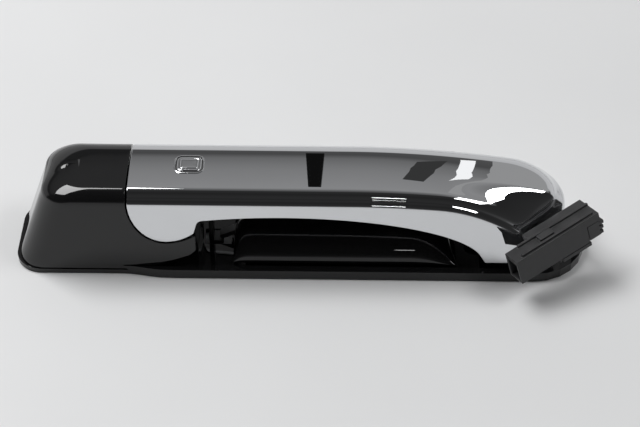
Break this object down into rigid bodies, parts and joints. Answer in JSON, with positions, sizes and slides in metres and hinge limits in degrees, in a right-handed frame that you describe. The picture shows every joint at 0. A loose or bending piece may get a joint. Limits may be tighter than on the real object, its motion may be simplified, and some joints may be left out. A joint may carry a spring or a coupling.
{
  "type": "car door handle",
  "caption": "Car door pull handle with a chrome strap hinged on a gloss black base, a lock button in the strap, a hidden key lock and a lead connector.",
  "frame": {"origin": "middle of the flat underside of the base, in the plane that meets the door skin", "axes": "+X along the handle towards the hinge and connector end, +Z out of the door, -Y towards the side with the connector"},
  "size_m": [0.2549, 0.0637, 0.0446],
  "materials": {
    "gloss_black": "high gloss piano black",
    "bright_chrome": "bright chrome plating",
    "black_plastic": "satin moulded plastic",
    "rubber_black": "matte rubber",
    "screw_steel": "zinc plated steel",
    "cast_zinc": "die cast, dull",
    "brass_insert": "turned brass",
    "ferrite_grey": "sintered ferrite",
    "copper_winding": "enamelled copper",
    "board_green": "coated circuit board"
  },
  "bodies": {
    "base": {"base_frame": "gloss_black", "end_cap": "gloss_black", "well_cover": "gloss_black", "base_gasket": "rubber_black", "cap_screw_1": "screw_steel", "cap_screw_2": "screw_steel", "cap_screw_3": "screw_steel", "well_screw_1": "screw_steel", "well_screw_2": "screw_steel", "bracket_screw_1": "screw_steel", "bracket_screw_2": "screw_steel", "door_insert_1": "brass_insert", "door_insert_2": "brass_insert", "lock_body": "cast_zinc", "hinge_bracket": "cast_zinc", "hinge_pin": "screw_steel", "hinge_bush_near": "black_plastic", "hinge_bush_far": "black_plastic", "return_spring": "screw_steel", "lever_mount": "cast_zinc", "lever_pin": "screw_steel", "stop_buffer_near": "rubber_black", "stop_buffer_far": "rubber_black", "connector_housing": "black_plastic", "connector_lock": "black_plastic", "connector_terminal_1": "brass_insert", "connector_terminal_2": "brass_insert", "connector_cradle": "black_plastic", "lead_grommet": "rubber_black", "connector_lead": "rubber_black"},
    "strap": {"chrome_cover": "bright_chrome", "strap_core": "black_plastic", "strap_hook": "cast_zinc", "hook_screw": "screw_steel", "button_bezel": "bright_chrome", "button_switch": "black_plastic", "button_boot": "rubber_black", "circuit_board": "board_green", "antenna_core": "ferrite_grey", "antenna_coil": "copper_winding", "sensor_foil": "copper_winding"},
    "button": {"lock_button": "bright_chrome"},
    "lever": {"latch_lever": "screw_steel", "rod_clip": "black_plastic"},
    "key_plug": {"lock_plug": "brass_insert", "lock_tail": "screw_steel"}
  },
  "joints": [
    {"name": "strap_pull", "type": "hinge", "parent": "base", "child": "strap", "pos_m": [0.098, 0, 0.012], "axis": [0, 1, 0], "range_deg": [0, 5], "stiffness_Nm_per_rad": 3, "springref_deg": -2.86},
    {"name": "button_press", "type": "slide", "parent": "strap", "child": "button", "axis": [0, 0, -1], "range_m": [0, 0.001], "stiffness_N_per_m": 600, "springref_m": -0.0004},
    {"name": "lever_turn", "type": "hinge", "parent": "base", "child": "lever", "pos_m": [-0.0216, 0, 0.0105], "axis": [0, 1, 0], "range_deg": [0, 48]},
    {"name": "key_turn", "type": "hinge", "parent": "base", "child": "key_plug", "pos_m": [-0.101, 0, 0.02], "axis": [0, 0, 1], "range_deg": [-70, 70], "stiffness_Nm_per_rad": 0.05}
  ],
  "couplings": [
    {"joint": "lever_turn", "follows": "strap_pull", "ratio": 9.6}
  ]
}
